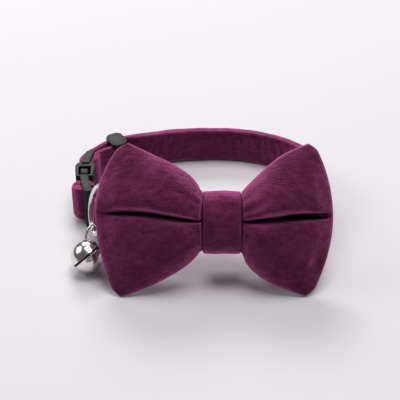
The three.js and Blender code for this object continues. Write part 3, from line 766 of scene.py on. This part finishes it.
def link_frame():
    """Top and bottom of the link, the way down between them and the link's side."""
    out, up, _ = ring_frame(RING_SWING)
    half = (RING_HEIGHT - RING_WIRE) / 2
    radial = out * math.cos(HOOK_ANGLE) + up * math.sin(HOOK_ANGLE)
    top = RING_BAR + out * half * RING_ROUND * math.cos(HOOK_ANGLE) + up * half * math.sin(HOOK_ANGLE)
    top = top - radial * HOOK_INSIDE
    down = unit(bell_eye() - top)
    way = up * math.cos(HOOK_ANGLE) - out * RING_ROUND * math.sin(HOOK_ANGLE)
    return top, down, turned(unit(np.cross(way, down)), down, HOOK_TILT)


def build_link(material):
    """Oval link through the bell's eye and round the D-ring."""
    top, down, side = link_frame()
    reach = np.linalg.norm(bell_eye() - top) / 2
    middle = (top + bell_eye()) / 2
    angle = np.linspace(0, TAU, 160, endpoint=False)[:, None]
    path = middle + down * reach * np.cos(angle) + side * LINK_SIDE * np.sin(angle)
    tangents = unit(-down * reach * np.sin(angle) + side * LINK_SIDE * np.cos(angle))
    return tube("jump_ring_wire", path, tangents, LINK_WIRE / 2, 16, material)


def build_bell(bright, dull):
    """Hollow bell: a sphere drawn in lines round the slot, so that the slot's lips are clean curves.

    a runs round the great circle that the slot follows and s away from it to the sphere's side poles;
    the slot's half width is narrow, swells to a round hole near each end and closes past it. The lips
    stand a little proud. The wall gets its thickness from Solidify.
    """
    axis = unit(BELL_AXIS)
    way = square(BELL_SLOT_WAY, axis)
    flat = np.cross(axis, way)
    a = np.linspace(0, TAU, 288, endpoint=False)[:, None]
    off = np.abs((a - 1.5 * math.pi + math.pi) % TAU - math.pi)
    hole = BELL_HOLE_AT
    narrow = BELL_SLOT / 2 / BELL_RADIUS * (off < hole)
    wide = BELL_HOLE / BELL_RADIUS
    bulge = np.sqrt(np.clip(wide**2 - (off - hole) ** 2, 0, None))
    half = np.maximum(narrow, bulge)
    s = np.linspace(0, 1, 60)[None] ** 1.25
    open_here = smooth(half / 0.03)
    pieces, faces, count = [], [], 0
    for side in (1, -1):
        b = half + (math.pi / 2 - half) * s
        lip = 0.16 * np.exp(-((s * (math.pi / 2) * BELL_RADIUS / 0.55) ** 2)) * open_here
        seam = -0.06 * np.exp(-(((off - math.pi / 2) * BELL_RADIUS / 0.25) ** 2))
        radius = BELL_RADIUS - 0.02 + lip + seam * smooth(1 - s)
        ring = radius[..., None] * (
            np.cos(b)[..., None] * (np.cos(a)[..., None] * way + np.sin(a)[..., None] * axis)
            + side * np.sin(b)[..., None] * flat
        )
        ring[:, -1] = side * BELL_RADIUS * flat
        rows, columns = ring.shape[:2]
        f = grid_faces(rows, columns, wrap_rows=True, wrap_columns=False)
        pieces.append(ring.reshape(-1, 3))
        faces.append((f if side > 0 else f[:, ::-1]) + count)
        count += rows * columns
    points = np.concatenate(pieces) + BELL_AT
    thing = put_mesh("bell_shell", place(points), np.concatenate(faces), bright)
    face_out(thing)
    normal = thing.data.polygons[0].normal
    outward = thing.data.polygons[0].center - Vector(place(BELL_AT))
    if normal.dot(outward) < 0:
        thing.data.flip_normals()
    thing.data.materials.append(dull)
    wall = thing.modifiers.new("wall", "SOLIDIFY")
    wall.thickness, wall.offset = BELL_WALL * MM, -1
    wall.material_offset = 1
    wall.material_offset_rim = 0
    wall.use_even_offset = True
    return thing


def build_bell_eye(material):
    """The bell's soldered loop of wire."""
    _, _, side = link_frame()
    axis = unit(BELL_AXIS)
    turn_axis = square(side, axis)
    other = np.cross(axis, turn_axis)
    angle = np.linspace(0, TAU, 96, endpoint=False)[:, None]
    path = bell_eye() + BELL_EYE * (axis * np.cos(angle) + other * np.sin(angle))
    tangents = unit(-axis * np.sin(angle) + other * np.cos(angle))
    return tube("bell_eye_wire", path, tangents, EYE_WIRE / 2, 16, material)


# ---- Moulded parts ----------------------------------------------------------------------------------
def build_moulded(node_name, name, material, radius):
    """A moulded part: the frame's own solid with its flats joined up and its edges rounded."""
    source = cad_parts[node_name]
    mesh = source.data.copy()
    bm = bmesh.new()
    bm.from_mesh(mesh)
    bmesh.ops.transform(bm, matrix=source.matrix_world, verts=bm.verts)
    bmesh.ops.remove_doubles(bm, verts=bm.verts, dist=2e-6)
    bmesh.ops.dissolve_limit(bm, angle_limit=math.radians(4), verts=bm.verts, edges=bm.edges)
    bmesh.ops.recalc_face_normals(bm, faces=bm.faces)
    bm.to_mesh(mesh)
    bm.free()
    mesh.materials.clear()
    mesh.materials.append(material)
    mesh.polygons.foreach_set("use_smooth", np.ones(len(mesh.polygons), bool))
    thing = bpy.data.objects.new(name, mesh)
    bpy.context.scene.collection.objects.link(thing)
    soft = thing.modifiers.new("edges", "BEVEL")
    soft.width, soft.segments = radius * MM, 2
    soft.limit_method, soft.angle_limit = "ANGLE", math.radians(28)
    soft.harden_normals = True
    soft.use_clamp_overlap = True
    return thing


# ---- Settings and operators -------------------------------------------------------------------------
FLOOR_HALF, FLOOR_DROP = 3.0, 0.0002  # metres; the drop keeps the floor clear of the lowest faces


class CollarColours(bpy.types.PropertyGroup):
    """Colours of the velvet."""

    deep: FloatVectorProperty(
        name="Deep pile",
        description="Colour of the velvet where the pile stands up",
        subtype="COLOR",
        size=4,
        default=(0.068, 0.0085, 0.030, 1),
    )
    mid: FloatVectorProperty(
        name="Laid pile",
        description="Colour of the velvet where the pile lies down",
        subtype="COLOR",
        size=4,
        default=(0.145, 0.019, 0.066, 1),
    )
    worn: FloatVectorProperty(
        name="Pile tips",
        description="Colour of the brightest tips",
        subtype="COLOR",
        size=4,
        default=(0.36, 0.085, 0.22, 1),
    )


class CollarStudio(bpy.types.PropertyGroup):
    """Camera and lights."""

    elevation: FloatProperty(
        name="Elevation",
        description="Camera angle above the floor",
        subtype="ANGLE",
        default=math.radians(37),
    )
    distance: FloatProperty(
        name="Distance",
        description="Camera to the aim point",
        subtype="DISTANCE",
        unit="LENGTH",
        default=0.468,
    )
    lens: FloatProperty(name="Lens", description="Focal length in millimetres", default=94.5)
    key: FloatProperty(name="Window light", description="Power of the large back light in watts", default=9.0)
    fill: FloatProperty(name="Fill light", description="Power of the front light in watts", default=0.25)


def declare(thing, node_names):
    """Every piece rides on the one body and hides the CAD nodes it stands for."""
    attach(thing, "root")
    if node_names:
        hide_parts(*node_names)


def velvet_of(name):
    """The velvet in the user's colours."""
    colours = bpy.context.scene.collar_colours
    return velvet(name, tuple(colours.deep), tuple(colours.mid), tuple(colours.worn))


class COLLAR_OT_strap(bpy.types.Operator):
    """Build the velvet strap and the keeper of the D-ring"""

    bl_idname = "collar.strap"
    bl_label = "Strap"

    def execute(self, context):
        material = velvet_of("strap_velvet_pile")
        strap = build_strap(material)
        declare(strap, ["strap"])
        keeper = build_keeper(material)
        declare(keeper, ["d_ring_keeper"])
        return {"FINISHED"}


class COLLAR_OT_bow(bpy.types.Operator):
    """Build the padded bow and its knot"""

    bl_idname = "collar.bow"
    bl_label = "Bow and knot"

    def execute(self, context):
        material = velvet_of("bow_velvet_pile")
        bow = build_bow(material)
        declare(bow, ["bow"])
        knot = build_knot(material)
        declare(knot, ["knot"])
        return {"FINISHED"}


class COLLAR_OT_plastic(bpy.types.Operator):
    """Build the two halves of the buckle and the slider"""

    bl_idname = "collar.plastic"
    bl_label = "Buckle and slider"

    def execute(self, context):
        material = plastic()
        for node_name, name, radius in (
            ("buckle_female", "buckle_socket", 0.25),
            ("buckle_male", "buckle_plug", 0.22),
            ("slider", "strap_slider", 0.18),
        ):
            thing = build_moulded(node_name, name, material, radius)
            declare(thing, [node_name])
        return {"FINISHED"}


class COLLAR_OT_metal(bpy.types.Operator):
    """Build the D-ring, the link and the bell"""

    bl_idname = "collar.metal"
    bl_label = "Ring, link and bell"

    def execute(self, context):
        material = polished()
        declare(build_ring(material), ["d_ring"])
        declare(build_link(material), ["jump_ring"])
        bell = build_bell(material, dull_metal())
        declare(bell, ["bell"])
        declare(build_bell_eye(material), [])
        return {"FINISHED"}


def soft_light(name, at, aim, size, power, colour):
    """A rectangular soft light at a place in the row frame, turned toward aim."""
    data = bpy.data.lights.new(name, "AREA")
    data.shape, data.size, data.size_y = "RECTANGLE", size[0], size[1]
    data.energy, data.color = power, colour
    lamp = bpy.data.objects.new(name, data)
    lamp.location = at
    lamp.rotation_euler = (Vector(aim) - Vector(at)).to_track_quat("-Z", "Y").to_euler()
    bpy.context.scene.collection.objects.link(lamp)


class COLLAR_OT_stage(bpy.types.Operator):
    """Build the floor, the lights and the camera"""

    bl_idname = "collar.stage"
    bl_label = "Stage"

    def execute(self, context):
        scene = context.scene
        studio = scene.collar_studio
        corners = [(x * FLOOR_HALF, y * FLOOR_HALF, 0) for x, y in ((-1, -1), (1, -1), (1, 1), (-1, 1))]
        floor = put_mesh("floor", np.array(corners), np.array([[0, 1, 2, 3]]), paper(), False)
        floor.location.z = -FLOOR_DROP
        aim = place(np.array([-2.4, 0, 0]))
        aim[2] = 0
        lift = studio.elevation
        back = np.array([0, -math.cos(lift), math.sin(lift)])
        data = bpy.data.cameras.new("camera")
        data.lens, data.sensor_width = studio.lens, 36
        data.clip_start = 0.01
        camera = bpy.data.objects.new("camera", data)
        camera.location = aim + back * studio.distance
        camera.rotation_euler = (math.pi / 2 - lift, 0, 0)
        scene.collection.objects.link(camera)
        scene.camera = camera
        key, middle = studio.key, (0, 0, 0)
        for name, at, towards, size, power, colour in (
            ("window", (-0.2, 1.2, 1.0), middle, (0.8, 0.5), key * 1.6, (1, 0.985, 0.985)),
            ("ceiling", (0.2, 0.2, 1.5), middle, (0.8, 0.8), key * 1.7, (1, 0.985, 1)),
            ("side", (-1.0, 0.25, 0.8), middle, (0.8, 0.6), key * 0.55, (1, 0.985, 1)),
            ("fill", (0.35, -0.9, 0.45), (0, 0, 0.02), (0.7, 0.5), studio.fill, (0.98, 0.98, 1)),
        ):
            soft_light(name, at, towards, size, power, colour)
        world = bpy.data.worlds.new("studio_air")
        world.use_nodes = True
        air = world.node_tree.nodes["Background"].inputs
        air["Color"].default_value = (0.86, 0.85, 0.9, 1)
        air["Strength"].default_value = 0.11
        scene.world = world
        scene.view_settings.view_transform = "Standard"
        return {"FINISHED"}


class COLLAR_PT_panel(bpy.types.Panel):
    """Sidebar panel with the collar's colours, studio and build steps"""

    bl_label = "Velvet collar"
    bl_idname = "COLLAR_PT_panel"
    bl_space_type = "VIEW_3D"
    bl_region_type = "UI"
    bl_category = "Collar"

    def draw(self, context):
        layout = self.layout
        for group in (context.scene.collar_colours, context.scene.collar_studio):
            for key in group.__annotations__:
                layout.prop(group, key)
        for step in STEPS:
            layout.operator(step.bl_idname)


STEPS = (COLLAR_OT_strap, COLLAR_OT_bow, COLLAR_OT_plastic, COLLAR_OT_metal, COLLAR_OT_stage)
CLASSES = (CollarColours, CollarStudio, *STEPS, COLLAR_PT_panel)


def register():
    """Adds the settings, the operators and the panel."""
    for cls in CLASSES:
        bpy.utils.register_class(cls)
    bpy.types.Scene.collar_colours = PointerProperty(type=CollarColours)
    bpy.types.Scene.collar_studio = PointerProperty(type=CollarStudio)


def unregister():
    """Takes them away again."""
    del bpy.types.Scene.collar_studio
    del bpy.types.Scene.collar_colours
    for cls in reversed(CLASSES):
        bpy.utils.unregister_class(cls)


def main():
    """Builds the collar piece by piece."""
    register()
    bpy.ops.collar.strap()
    bpy.ops.collar.bow()
    bpy.ops.collar.plastic()
    bpy.ops.collar.metal()
    bpy.ops.collar.stage()


if __name__ == "__main__":
    main()
